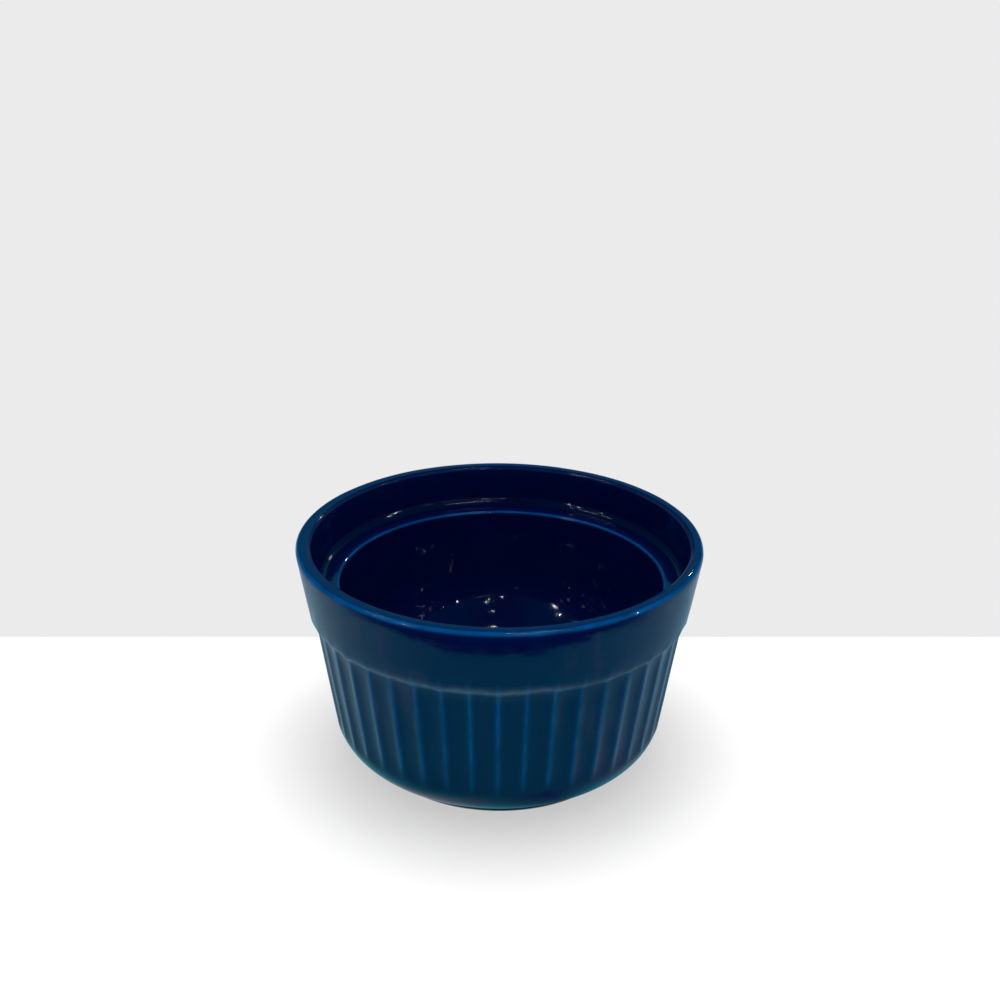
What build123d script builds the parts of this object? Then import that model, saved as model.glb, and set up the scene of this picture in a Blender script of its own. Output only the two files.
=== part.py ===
from build123d import *
import math
import os

# A round stackable ramekin: one body of fired clay under a thin coat of glass.
# All lengths are in millimetres and all angles in degrees. The origin is the
# centre of the foot on the table and +Z points up. The front faces -Y.

# Overall sizes; the rim radius is to the sharp corner that the lip rounds off
rim_radius = 45.2
body_height = 52.5

# Lip and collar, the plain band round the top
lip_thickness = 3.4
lip_outer_round = 1.1
lip_inner_round = 1.0
collar_lower_radius = 42.6
shoulder_height = 37.4
shoulder_depth = 1.2
shoulder_round = 0.9
shoulder_hollow = 0.7

# Fluted wall, measured over the ridges, and the heel below it
ridge_top_radius = 41.5
wall_draft_angle = 8.9
heel_radius = 11.0
heel_underside_height = 1.5

# Flutes
ridge_count = 44
ridge_land = 1.0
flute_depth = 0.7
flute_heel_depth = 1.0
flute_top_gap = 0.3
flute_run_out = 8.0

# Inside: the stacking step, the well below it and its floor
step_height = 43.0
step_outer_radius = 41.0
step_inner_radius = 36.0
step_edge_round = 0.8
step_corner_fillet = 1.2
floor_height = 8.0
floor_corner_radius = 32.0
floor_fillet = 23.5

# Foot ring and the recess inside it
foot_outer_radius = 29.4
foot_inner_radius = 25.8
foot_edge_round = 0.5
recess_depth = 1.9

# Glass coat
glaze_thickness = 0.35
glaze_line_height = 0.9
base_glaze_margin = 0.6

# Length by which a cutting shape runs past what it cuts
overrun = 1.0


def flute_slope():
    """Inward travel of the fluted wall for each unit of height."""
    return math.tan(math.radians(wall_draft_angle))


def wall_radius(height):
    """Radius over the ridges at a height on the straight part of the wall."""
    ridge_top_height = shoulder_height - shoulder_depth
    return ridge_top_radius - (ridge_top_height - height) * flute_slope()


def outline_corners():
    """Sharp corners of the half section and the round at each, from the axis and back to it."""
    ridge_top_height = shoulder_height - shoulder_depth
    return [
        (0, heel_underside_height, 0),
        (wall_radius(heel_underside_height), heel_underside_height, heel_radius),
        (ridge_top_radius, ridge_top_height, shoulder_hollow),
        (collar_lower_radius, shoulder_height, shoulder_round),
        (rim_radius, body_height, lip_outer_round),
        (rim_radius - lip_thickness, body_height, lip_inner_round),
        (step_outer_radius, step_height, step_corner_fillet),
        (step_inner_radius, step_height, step_edge_round),
        (floor_corner_radius, floor_height, floor_fillet),
        (0, floor_height, 0),
    ]


def inward_normal(start, end):
    """Unit vector into the material from the outline's side between two corners."""
    side = Vector(end[0] - start[0], end[1] - start[1])
    return Vector(-side.Y, side.X).normalized()


def inset_corner(before, corner, after, inset):
    """Corner moved inward by the inset from both of its sides, and its round there."""
    first = inward_normal(before, corner)
    second = inward_normal(corner, after)
    shift = (first + second) * (inset / (1 + first.dot(second)))
    turn = math.copysign(1, first.X * second.Y - first.Y * second.X)
    return (corner[0] + shift.X, corner[1] + shift.Y), corner[2] - inset * turn


def bowl_section(inset):
    """Half section of the dish without its foot, with every skin moved inward by the inset."""
    corners = outline_corners()
    points = [(0, corners[0][1] + inset)]
    rounds = []
    for before, corner, after in zip(corners, corners[1:], corners[2:]):
        point, corner_round = inset_corner(before, corner, after, inset)
        points.append(point)
        rounds.append(corner_round)
    points.append((0, corners[-1][1] - inset))
    skin = FilletPolyline(*points, radius=rounds)
    axis_side = Line(skin @ 1, skin @ 0)
    return Plane.XZ * make_face(Wire([*skin.edges(), *axis_side.edges()]))


def flute_station(height, depth):
    """Centre and radius of the round bar that cuts one flute to a depth at a height."""
    crest_radius = wall_radius(height)
    width = 2 * math.pi * crest_radius / ridge_count - ridge_land
    bar_radius = width ** 2 / (8 * depth) + depth / 2
    return Vector(crest_radius + bar_radius - depth, 0, height), bar_radius


def flute_cutter(inset):
    """Tapered bar that cuts the flute on +X and runs out of the clay where the heel curves away."""
    heel_start_height = heel_underside_height + heel_radius * (1 + math.sin(math.radians(wall_draft_angle)))
    low_centre, low_radius = flute_station(heel_start_height, flute_heel_depth)
    top_centre, top_radius = flute_station(shoulder_height - shoulder_depth, flute_depth)
    reach = top_centre - low_centre
    along = reach.normalized()
    taper = (top_radius - low_radius) / reach.length
    start_radius = low_radius - taper * flute_run_out + inset
    end_extension = flute_top_gap + inset
    end_radius = top_radius + taper * end_extension + inset
    bar_length = flute_run_out + reach.length + end_extension
    start = Plane(origin=low_centre - along * flute_run_out, z_dir=along)
    align = (Align.CENTER, Align.CENTER, Align.MIN)
    return start * Cone(start_radius, end_radius, bar_length, align=align)


def flute_cutters(inset):
    """All the flute cutters, with a ridge left at the front."""
    pitch_angle = 360 / ridge_count
    first_angle = -90 + pitch_angle / 2
    bar = flute_cutter(inset)
    return [Rot(0, 0, first_angle + pitch_angle * index) * bar for index in range(ridge_count)]


def foot_ring(outer_radius, lower_height):
    """Solid disc of the foot, from a height up into the heel that it stands under."""
    upper_height = (recess_depth + floor_height) / 2
    height = upper_height - lower_height
    align = (Align.CENTER, Align.CENTER, Align.MIN)
    return Pos(0, 0, lower_height) * Cylinder(outer_radius, height, align=align)


def recess(radius, ceiling_height):
    """Space inside the foot ring, open to the table."""
    align = (Align.CENTER, Align.CENTER, Align.MIN)
    return Pos(0, 0, -overrun) * Cylinder(radius, ceiling_height + overrun, align=align)


def fluted_bowl(inset):
    """Dish without its foot: the turned body with its flutes cut."""
    turned = revolve(bowl_section(inset), Axis.Z)
    return turned - flute_cutters(inset)


def stoneware_body():
    """Fired clay: the whole dish inside its coat, with a bare foot ring."""
    foot = foot_ring(foot_outer_radius - glaze_thickness, 0)
    rounded = [edge for edge in foot.edges() if edge.center().Z < foot_edge_round]
    foot = fillet(rounded, foot_edge_round)
    body = fluted_bowl(glaze_thickness) + foot
    body = body - recess(foot_inner_radius, recess_depth + glaze_thickness)
    inner_edge = body.edges().filter_by(GeomType.CIRCLE).sort_by(Axis.Z)[:2].sort_by(SortBy.RADIUS)[0]
    return fillet(inner_edge, foot_edge_round)


def glaze_coat(body):
    """Glass over the inside, the lip and the outside, down to the glaze line on the foot."""
    foot_sleeve = foot_ring(foot_outer_radius, glaze_line_height)
    covered = fluted_bowl(0) + foot_sleeve
    bare_core = foot_ring(foot_outer_radius - glaze_thickness, -overrun)
    return covered - body - bare_core


def base_glaze():
    """Glass on the ceiling of the recess, kept clear of the bare foot ring."""
    ceiling_height = recess_depth + glaze_thickness
    radius = foot_inner_radius - base_glaze_margin
    align = (Align.CENTER, Align.CENTER, Align.MAX)
    disc = Pos(0, 0, ceiling_height) * Cylinder(radius, glaze_thickness, align=align)
    lower_edge = disc.edges().group_by(Axis.Z)[0]
    return fillet(lower_edge, glaze_thickness / 2)


def main():
    """Write one file for each piece of the ramekin."""
    os.makedirs("parts", exist_ok=True)
    body = stoneware_body()
    pieces = {
        "stoneware_body": body,
        "glaze_coat": glaze_coat(body),
        "base_glaze": base_glaze(),
    }
    for node, shape in pieces.items():
        export_step(shape, f"parts/{node}.step")


main()
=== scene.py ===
"""Looks of a glazed stoneware ramekin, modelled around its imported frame.

Lengths are metres, written as millimetres times MM, and +Z is up. The front of
the dish faces -Y. Every piece is turned and pressed from the same half section.
"""

import logging
import math
from dataclasses import dataclass
from enum import Enum
from typing import Callable, Union

import bmesh
import bpy
from mathutils import Matrix, Vector


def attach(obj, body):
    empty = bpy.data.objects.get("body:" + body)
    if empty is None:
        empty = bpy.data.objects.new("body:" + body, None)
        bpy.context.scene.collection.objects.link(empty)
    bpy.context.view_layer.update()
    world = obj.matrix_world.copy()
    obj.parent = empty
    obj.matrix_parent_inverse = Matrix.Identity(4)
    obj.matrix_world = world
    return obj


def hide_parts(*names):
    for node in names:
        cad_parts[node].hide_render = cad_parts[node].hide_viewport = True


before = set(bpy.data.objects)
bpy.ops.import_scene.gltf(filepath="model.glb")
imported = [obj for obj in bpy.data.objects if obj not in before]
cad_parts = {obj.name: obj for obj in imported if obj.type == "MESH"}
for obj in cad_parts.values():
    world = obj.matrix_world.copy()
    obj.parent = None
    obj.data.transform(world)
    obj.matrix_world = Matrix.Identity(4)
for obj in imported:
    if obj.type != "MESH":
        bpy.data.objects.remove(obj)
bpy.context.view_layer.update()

MM = 0.001
AXIS_FOOT = (0.0, 0.0, 0.0)
FRONT_DEGREES = -90.0
ROTATE_SIGN = -1.0  # transform.rotate turns the other way when Blender has no window
WELD_DISTANCE = 0.004 * MM
LEAST_PRESS = WELD_DISTANCE / 8
WEIGHT_DIGITS = 3
LOG = logging.getLogger("ramekin")

Colour = tuple[float, float, float, float]
Span = tuple[float, float]
Source = Union[bpy.types.NodeSocket, float, Colour]


def srgb(red: float, green: float, blue: float) -> Colour:
    """Turn display values from 0 to 255 into a linear colour, by the standard display curve.

    Args:
        red, green, blue: the display values.

    Returns:
        The linear colour with a full alpha.
    """
    parts = []
    for value in (red, green, blue):
        share = value / 255
        parts.append(share / 12.92 if share <= 0.04045 else ((share + 0.055) / 1.055) ** 2.4)
    return (*parts, 1.0)


def smooth_step(share: float) -> float:
    """Ease a share from 0 to 1, and hold it there outside that range."""
    held = min(max(share, 0.0), 1.0)
    return held * held * (3 - 2 * held)


# Half section


@dataclass(frozen=True)
class Corner:
    """One corner of a half section, with its rounding.

    Attributes:
        radius: distance from the dish's axis.
        height: height above the table.
        rounding: radius of the round at the corner, 0 for none.
        bends: straight steps that make up the round.
        run: straight steps on the way to this corner.
    """

    radius: float
    height: float
    rounding: float = 0.0
    bends: int = 1
    run: int = 1


def inset_corners(corners: list[Corner], inset: float) -> list[Corner]:
    """Move an outline inward, keeping its ends on their own levels.

    Args:
        corners: the outline, with the material on its left.
        inset: how far each side moves.

    Returns:
        The corners of the moved outline.
    """
    spots = [Vector((corner.radius, corner.height)) for corner in corners]
    sides = [(after - before).normalized() for before, after in zip(spots, spots[1:])]
    normals = [Vector((-side.y, side.x)) for side in sides]
    moved = []
    for index, corner in enumerate(corners):
        first = normals[max(index - 1, 0)]
        second = normals[min(index, len(normals) - 1)]
        shift = (first + second) * (inset / (1 + first.dot(second)))
        turn = math.copysign(1.0, first.x * second.y - first.y * second.x)
        rounding = max(corner.rounding - inset * turn, 0.0) if corner.rounding else 0.0
        radius = 0.0 if corner.radius == 0.0 else corner.radius + shift.x
        moved.append(Corner(radius, corner.height + shift.y, rounding, corner.bends, corner.run))
    return moved


def trace(corners: list[Corner]) -> list[Vector]:
    """Follow an outline with its rounds.

    Args:
        corners: the corners in order.

    Returns:
        Points as (radius, height).
    """
    spots = [Vector((corner.radius, corner.height)) for corner in corners]
    points = [spots[0]]
    for index, corner in enumerate(corners[1:], start=1):
        spot = spots[index]
        arc = [spot]
        if corner.rounding and index < len(corners) - 1:
            arc = round_points(spots[index - 1], spot, spots[index + 1], corner)
        start = points[-1]
        for step in range(1, corner.run + 1):
            points.append(start.lerp(arc[0], step / corner.run))
        points.extend(arc[1:])
    return points


def round_points(before: Vector, spot: Vector, after: Vector, corner: Corner) -> list[Vector]:
    """Find the points of the arc that rounds off one corner.

    Args:
        before, spot, after: the places of the corner and both of its neighbours.
        corner: the corner, with its rounding and bends.

    Returns:
        Points along the arc as (radius, height).
    """
    back = (before - spot).normalized()
    ahead = (after - spot).normalized()
    opening = back.angle(ahead)
    turn = math.pi - opening
    centre = spot + (back + ahead).normalized() * (corner.rounding / math.sin(opening / 2))
    reach = corner.rounding / math.tan(opening / 2)
    start = spot + back * reach - centre
    end = spot + ahead * reach - centre
    spread = math.sin(turn)
    points = []
    for step in range(corner.bends + 1):
        share = step / corner.bends
        from_start = math.sin((1 - share) * turn) / spread
        from_end = math.sin(share * turn) / spread
        points.append(centre + (start * from_start + end * from_end))
    return points


@dataclass(frozen=True)
class DishSection:
    """Sizes of the dish's half section.

    The inside leans a little to the right, less at the lip than further down. Bends
    and runs are mesh steps, closest where the glass breaks over an edge.
    """

    lip_radius: float = 45.2 * MM
    lip_height: float = 52.5 * MM
    lip_thickness: float = 3.4 * MM
    lip_outer_round: float = 1.1 * MM
    lip_inner_round: float = 1.0 * MM
    collar_lower_radius: float = 42.6 * MM
    shoulder_height: float = 37.4 * MM
    shoulder_depth: float = 1.2 * MM
    shoulder_hollow: float = 0.7 * MM
    shoulder_round: float = 0.8 * MM
    collar_ring_heights: tuple[float, ...] = (42.6 * MM, 50.2 * MM)
    ridge_top_radius: float = 41.5 * MM
    wall_draft_degrees: float = 8.9
    heel_round: float = 11.0 * MM
    heel_slope_degrees: float = 15.0
    crevice_round: float = 0.35 * MM
    foot_radius: float = 29.4 * MM
    foot_inner_radius: float = 25.8 * MM
    foot_height: float = 1.9 * MM
    foot_edge_round: float = 0.7 * MM
    recess_height: float = 1.9 * MM
    glaze_line: float = 0.5 * MM
    glaze_thickness: float = 0.35 * MM
    glaze_edge_rise: float = 0.35 * MM
    edge_thickness_shares: tuple[float, ...] = (0.30, 0.75, 1.0)
    edge_rise_shares: tuple[float, ...] = (0.0, 0.30, 1.0)
    least_coat_share: float = 0.05
    step_height: float = 43.0 * MM
    step_outer_radius: float = 41.0 * MM
    step_inner_radius: float = 36.0 * MM
    step_edge_round: float = 0.8 * MM
    step_corner_fillet: float = 2.2 * MM
    floor_height: float = 8.0 * MM
    floor_corner_radius: float = 32.0 * MM
    floor_fillet: float = 23.5 * MM
    floor_eye_radius: float = 3.0 * MM
    inside_lean: float = 0.5 * MM
    lip_lean_share: float = 0.4
    wall_midway: float = 2.0 * MM

    @property
    def ridge_top_height(self) -> float:
        """Height at which the ridges meet the shoulder."""
        return self.shoulder_height - self.shoulder_depth

    def heel_corner(self) -> Corner:
        """Corner where the sloping underside of the heel would meet the wall's line.

        Returns:
            The corner, with its large round.
        """
        draft = math.tan(math.radians(self.wall_draft_degrees))
        slope = math.tan(math.radians(self.heel_slope_degrees))
        foot_line = self.foot_height - self.foot_radius * slope
        wall_line = self.ridge_top_radius - self.ridge_top_height * draft
        height = (foot_line + slope * wall_line) / (1 - slope * draft)
        return Corner(wall_line + height * draft, height, self.heel_round, bends=18)

    def collar_corner(self, height: float, run: int) -> Corner:
        """Corner without a bend on the collar, where its rings change their spacing.

        Args:
            height: height above the table.
            run: straight steps on the way to it.

        Returns:
            The corner.
        """
        rise = (height - self.shoulder_height) / (self.lip_height - self.shoulder_height)
        radius = self.collar_lower_radius + (self.lip_radius - self.collar_lower_radius) * rise
        return Corner(radius, height, run=run)

    def outside(self) -> list[Corner]:
        """Corners from the crevice over the foot up to the lip.

        Returns:
            The corners, from the lowest up.
        """
        ripple_top, lip_line = self.collar_ring_heights
        return [
            Corner(self.foot_radius, self.foot_height, self.crevice_round, bends=4, run=2),
            self.heel_corner(),
            Corner(self.ridge_top_radius, self.ridge_top_height, self.shoulder_hollow, bends=4,
                   run=12),
            Corner(self.collar_lower_radius, self.shoulder_height, self.shoulder_round, bends=7),
            self.collar_corner(ripple_top, run=6),
            self.collar_corner(lip_line, run=2),
            Corner(self.lip_radius, self.lip_height, self.lip_outer_round, bends=9),
        ]

    def inside(self) -> list[Corner]:
        """Corners from the lip down to the middle of the floor.

        Returns:
            The corners, from the highest down.
        """
        lip_inner_radius = self.lip_radius - self.lip_thickness
        return [
            Corner(lip_inner_radius, self.lip_height, self.lip_inner_round, bends=7, run=2),
            Corner(self.step_outer_radius, self.step_height, self.step_corner_fillet, bends=8,
                   run=2),
            Corner(self.step_inner_radius, self.step_height, self.step_edge_round, bends=6),
            Corner(self.floor_corner_radius, self.floor_height, self.floor_fillet, bends=11, run=2),
            Corner(self.floor_eye_radius, self.floor_height, run=3),
            Corner(0.0, self.floor_height),
        ]

    def glazed(self) -> list[Vector]:
        """Points of the glass surface, from the glaze line to the middle of the floor.

        Returns:
            Points as (radius, height).
        """
        clay_radius = self.foot_radius - self.glaze_thickness
        edge = []
        for thickness, rise in zip(self.edge_thickness_shares, self.edge_rise_shares):
            radius = clay_radius + self.glaze_thickness * thickness
            edge.append(Corner(radius, self.glaze_line + self.glaze_edge_rise * rise))
        return trace(edge + self.outside() + self.inside())

    def coat_share(self, spot: Vector) -> float:
        """Share of the full thickness of the glass at a place: it thins out at its lower edge.

        Args:
            spot: the place.

        Returns:
            The share, from the least up to 1.
        """
        edge_top = self.glaze_line + self.glaze_edge_rise
        if spot.z > edge_top or spot.xy.length < self.foot_inner_radius:
            return 1.0
        clay_radius = self.foot_radius - self.glaze_thickness
        share = (spot.xy.length - clay_radius) / self.glaze_thickness
        return min(max(share, self.least_coat_share), 1.0)

    def inside_share(self, spot: Vector) -> float:
        """Share of the inside's lean at a place: none on the outside, all below the step.

        Args:
            spot: the place.

        Returns:
            The share, from 0 to 1.
        """
        upper = spot.z > self.step_height - 2 * self.step_edge_round
        rise = (spot.z - self.floor_height) / (self.step_height - self.floor_height)
        flare = self.step_inner_radius - self.floor_corner_radius
        inner_line = self.floor_corner_radius + flare * rise
        limit = self.collar_lower_radius if upper else inner_line + self.wall_midway
        under = self.floor_height - 2 * self.glaze_thickness
        if spot.xy.length > limit or spot.z < under:
            return 0.0
        fall = (self.lip_height - spot.z) / (self.lip_height - self.step_height)
        return self.lip_lean_share + (1 - self.lip_lean_share) * smooth_step(fall)

    def clay(self) -> list[Vector]:
        """Points of the clay surface, from the middle of the recess to the middle of the floor.

        Returns:
            Points as (radius, height).
        """
        under = self.recess_height + self.glaze_thickness
        bare_radius = self.foot_radius - self.glaze_thickness
        covered = inset_corners(
            [Corner(self.foot_radius, self.glaze_line)] + self.outside() + self.inside(),
            self.glaze_thickness,
        )
        bare = [
            Corner(0.0, under),
            Corner(self.floor_eye_radius, under),
            Corner(self.foot_inner_radius, under, self.foot_edge_round, bends=5, run=3),
            Corner(self.foot_inner_radius, 0.0, self.foot_edge_round, bends=5),
            Corner(bare_radius, 0.0, self.foot_edge_round, bends=5, run=2),
        ]
        return trace(bare + covered[1:])


@dataclass(frozen=True)
class Flutes:
    """Upright flutes pressed into the wall, with a narrow ridge between each two.

    The share tables run from the middle of a ridge to the middle of a flute.
    """

    count: int = 44
    shoulder_depth: float = 0.42 * MM
    heel_depth: float = 0.54 * MM
    foot_height: float = 9.4 * MM
    foot_fade: float = 3.0 * MM
    top_gap: float = 1.5 * MM
    top_fade: float = 1.9 * MM
    ripple_depth: float = 0.13 * MM
    ripple_reach: float = 5.0 * MM
    place_shares: tuple[float, ...] = (0.0, 0.10, 0.24, 0.42, 0.68, 1.0)
    press_shares: tuple[float, ...] = (0.0, 0.05, 0.30, 0.65, 0.91, 1.0)

    @property
    def pitch_degrees(self) -> float:
        """Angle from one ridge to the next."""
        return 360.0 / self.count

    def column_degrees(self) -> list[float]:
        """Angles of the mesh columns across one pitch, from ridge to ridge.

        Returns:
            The angles in degrees, from 0 to the pitch.
        """
        half = self.pitch_degrees / 2
        rising = [share * half for share in self.place_shares]
        falling = [self.pitch_degrees - angle for angle in reversed(rising[:-1])]
        return rising + falling

    def depth(self, height: float, section: DishSection) -> float:
        """Depth in the middle of a flute at a height.

        Args:
            height: height above the table.
            section: the sizes of the dish.

        Returns:
            The depth, 0 below the flutes and high on the collar.
        """
        shoulder = section.ridge_top_height
        share = smooth_step((height - self.foot_height) / (shoulder - self.foot_height))
        wall = self.heel_depth + (self.shoulder_depth - self.heel_depth) * share
        wall *= smooth_step((height - self.foot_height) / self.foot_fade)
        wall *= 1 - smooth_step((height - shoulder + self.top_gap) / self.top_fade)
        ripple = self.ripple_depth * (1 - smooth_step((height - shoulder) / self.ripple_reach))
        above = height > self.foot_height + self.foot_fade
        return max(wall, ripple) if above else wall


# Modelling helpers


def lone(piece: bpy.types.Object) -> None:
    """Make one object the only selected and active one.

    Args:
        piece: the object.
    """
    bpy.ops.object.select_all(action="DESELECT")
    piece.select_set(True)
    bpy.context.view_layer.objects.active = piece


def pick_points(piece: bpy.types.Object, test: Callable[[Vector], bool]) -> None:
    """Select the mesh points of an edited piece by their place.

    Args:
        piece: the piece, in edit mode.
        test: says whether a point at a place is wanted.
    """
    mesh = bmesh.from_edit_mesh(piece.data)
    for point in mesh.verts:
        point.select_set(test(point.co))
    mesh.select_flush_mode()
    bmesh.update_edit_mesh(piece.data)


def apply_modifier(piece: bpy.types.Object, modifier: bpy.types.Modifier) -> None:
    """Apply one modifier of a piece."""
    lone(piece)
    bpy.ops.object.modifier_apply(modifier=modifier.name)


def weigh_points(piece: bpy.types.Object, name: str, share_at: Callable[[Vector], float]) -> None:
    """Give a piece a vertex group whose weights follow the places of its points.

    Args:
        piece: the piece, in object mode.
        name: the name of the group.
        share_at: gives the weight at a place.
    """
    group = piece.vertex_groups.new(name=name)
    levels: dict[float, list[int]] = {}
    for point in piece.data.vertices:
        levels.setdefault(round(share_at(point.co), WEIGHT_DIGITS), []).append(point.index)
    for weight, indices in levels.items():
        group.add(indices, weight, "REPLACE")


@dataclass(frozen=True)
class Push:
    """A Displace modifier that is applied at once.

    Attributes:
        strength: how far the fullest push goes.
        middle: texture value that pushes nothing.
        direction: axis of the push, or NORMAL.
        group: vertex group that weakens the push, or nothing.
        cloud_size: size of the soft texture's clouds, 0 for an even push.
        cloud_depth: how much finer detail the clouds have.
    """

    strength: float
    middle: float
    direction: str = "NORMAL"
    group: str = ""
    cloud_size: float = 0.0
    cloud_depth: int = 1

    def apply(self, piece: bpy.types.Object, name: str) -> None:
        """Push the points of a piece.

        Args:
            piece: the piece, in object mode.
            name: the name of the modifier and its texture.
        """
        modifier = piece.modifiers.new(name, "DISPLACE")
        if self.cloud_size:
            clouds = bpy.data.textures.new(name, type="CLOUDS")
            clouds.noise_scale = self.cloud_size
            clouds.noise_depth = self.cloud_depth
            modifier.texture = clouds
            modifier.texture_coords = "LOCAL"
        modifier.direction = self.direction
        modifier.mid_level = self.middle
        modifier.strength = self.strength
        modifier.vertex_group = self.group
        apply_modifier(piece, modifier)


@dataclass
class WheelWork:
    """Turns a half section into a whole dish, as on a potter's wheel.

    One pitch of the wall is drawn, swept and pressed, and then copied round.
    """

    name: str
    section: DishSection
    flutes: Flutes

    def build(self, points: list[Vector]) -> bpy.types.Object:
        """Model the surface of revolution through the points, with its flutes.

        Args:
            points: the half section as (radius, height).

        Returns:
            The open or closed surface as a new object.
        """
        piece = self.draw_section(points)
        self.sweep_pitch()
        self.press_flutes(piece, points)
        self.copy_round()
        bpy.ops.object.mode_set(mode="OBJECT")
        self.lean_inside(piece)
        return piece

    def draw_section(self, points: list[Vector]) -> bpy.types.Object:
        """Draw the half section in front of the axis, point by point.

        Args:
            points: the half section as (radius, height).

        Returns:
            The new object, in edit mode.
        """
        bpy.ops.object.select_all(action="DESELECT")
        bpy.ops.mesh.primitive_plane_add(size=MM)
        piece = bpy.context.object
        piece.name = self.name
        piece.data.name = self.name
        bpy.ops.object.mode_set(mode="EDIT")
        bpy.ops.mesh.select_mode(type="VERT")
        bpy.ops.mesh.select_all(action="SELECT")
        bpy.ops.mesh.merge(type="CENTER")
        first = points[0]
        bpy.ops.transform.translate(value=(0.0, -first.x, first.y))
        for before, after in zip(points, points[1:]):
            step = (0.0, before.x - after.x, after.y - before.y)
            bpy.ops.mesh.extrude_region_move(TRANSFORM_OT_translate={"value": step})
        return piece

    def sweep_pitch(self) -> None:
        """Sweep the drawn section through one pitch, in uneven steps."""
        columns = self.flutes.column_degrees()
        bpy.ops.mesh.select_all(action="SELECT")
        for before, after in zip(columns, columns[1:]):
            bpy.ops.mesh.extrude_region_move()
            turn = math.radians(after - before) * ROTATE_SIGN
            bpy.ops.transform.rotate(value=turn, orient_axis="Z", center_override=AXIS_FOOT)

    def press_flutes(self, piece: bpy.types.Object, points: list[Vector]) -> None:
        """Press the columns between the ridges towards the axis, ring by ring.

        Args:
            piece: the swept pitch, in edit mode.
            points: the half section as (radius, height).
        """
        half = self.flutes.pitch_degrees / 2
        for ring in self.outside_rings(points):
            depth = self.flutes.depth(ring.y, self.section)
            for place, press in zip(self.flutes.place_shares, self.flutes.press_shares):
                if depth * press < LEAST_PRESS:
                    continue
                pick_points(piece, self.column_test(ring, place * half))
                scale = 1 - depth * press / ring.x
                bpy.ops.transform.resize(value=(scale, scale, 1.0), center_override=AXIS_FOOT)

    def outside_rings(self, points: list[Vector]) -> list[Vector]:
        """Rings of the outside that stand as high as the flutes or a little higher.

        Args:
            points: the half section as (radius, height).

        Returns:
            The rings as (radius, height).
        """
        crown = max(range(len(points)), key=lambda index: points[index].y)
        top = self.section.shoulder_height + self.flutes.ripple_reach
        foot = self.flutes.foot_height
        outer = self.section.floor_corner_radius
        return [ring for ring in points[:crown] if foot < ring.y < top and ring.x > outer]

    def column_test(self, ring: Vector, offset_degrees: float) -> Callable[[Vector], bool]:
        """Make a test for the points of a ring that lie an angle from either ridge.

        Args:
            ring: the ring as (radius, height).
            offset_degrees: the angle from the nearer ridge of the pitch.

        Returns:
            The test, which takes a place.
        """
        pitch = self.flutes.pitch_degrees
        near = WELD_DISTANCE

        def wanted(spot: Vector) -> bool:
            """Say whether a place is a point of the ring at that angle.

            Args:
                spot: the place.

            Returns:
                True where it is.
            """
            if abs(spot.z - ring.y) > near or abs(spot.xy.length - ring.x) > near:
                return False
            angle = abs(math.degrees(math.atan2(spot.y, spot.x)) - FRONT_DEGREES)
            offset = min(angle, abs(pitch - angle))
            return abs(offset - offset_degrees) * math.radians(1) * ring.x < near

        return wanted

    def copy_round(self) -> None:
        """Copy the finished pitch all the way round and weld the copies."""
        copies = self.flutes.count - 1
        angle = math.radians(self.flutes.pitch_degrees * copies)
        bpy.ops.mesh.select_all(action="SELECT")
        bpy.ops.mesh.spin(steps=copies, dupli=True, angle=angle, center=AXIS_FOOT, axis=(0, 0, 1))
        bpy.ops.mesh.select_all(action="SELECT")
        bpy.ops.mesh.remove_doubles(threshold=WELD_DISTANCE)

    def lean_inside(self, piece: bpy.types.Object) -> None:
        """Push the inside a little off the outside's axis, as the press left it."""
        weigh_points(piece, "inside", self.section.inside_share)
        Push(self.section.inside_lean, 0.0, "X", "inside").apply(piece, "lean")


def face_outwards(piece: bpy.types.Object, section: DishSection) -> None:
    """Turn the faces of a turned surface away from its material, judged by the collar.

    Args:
        piece: the piece, in object mode.
        section: the sizes of the dish.
    """
    lone(piece)
    bpy.ops.object.mode_set(mode="EDIT")
    bpy.ops.mesh.select_all(action="SELECT")
    bpy.ops.mesh.normals_make_consistent(inside=False)
    bpy.ops.object.mode_set(mode="OBJECT")
    outward = 0.0
    for polygon in piece.data.polygons:
        centre = polygon.center
        outer = centre.xy.length > section.collar_lower_radius
        if outer and centre.z > section.shoulder_height:
            outward += polygon.normal.xy.dot(centre.xy)
    if outward < 0:
        bpy.ops.object.mode_set(mode="EDIT")
        bpy.ops.mesh.select_all(action="SELECT")
        bpy.ops.mesh.flip_normals()
        bpy.ops.object.mode_set(mode="OBJECT")


# Node helpers


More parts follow.
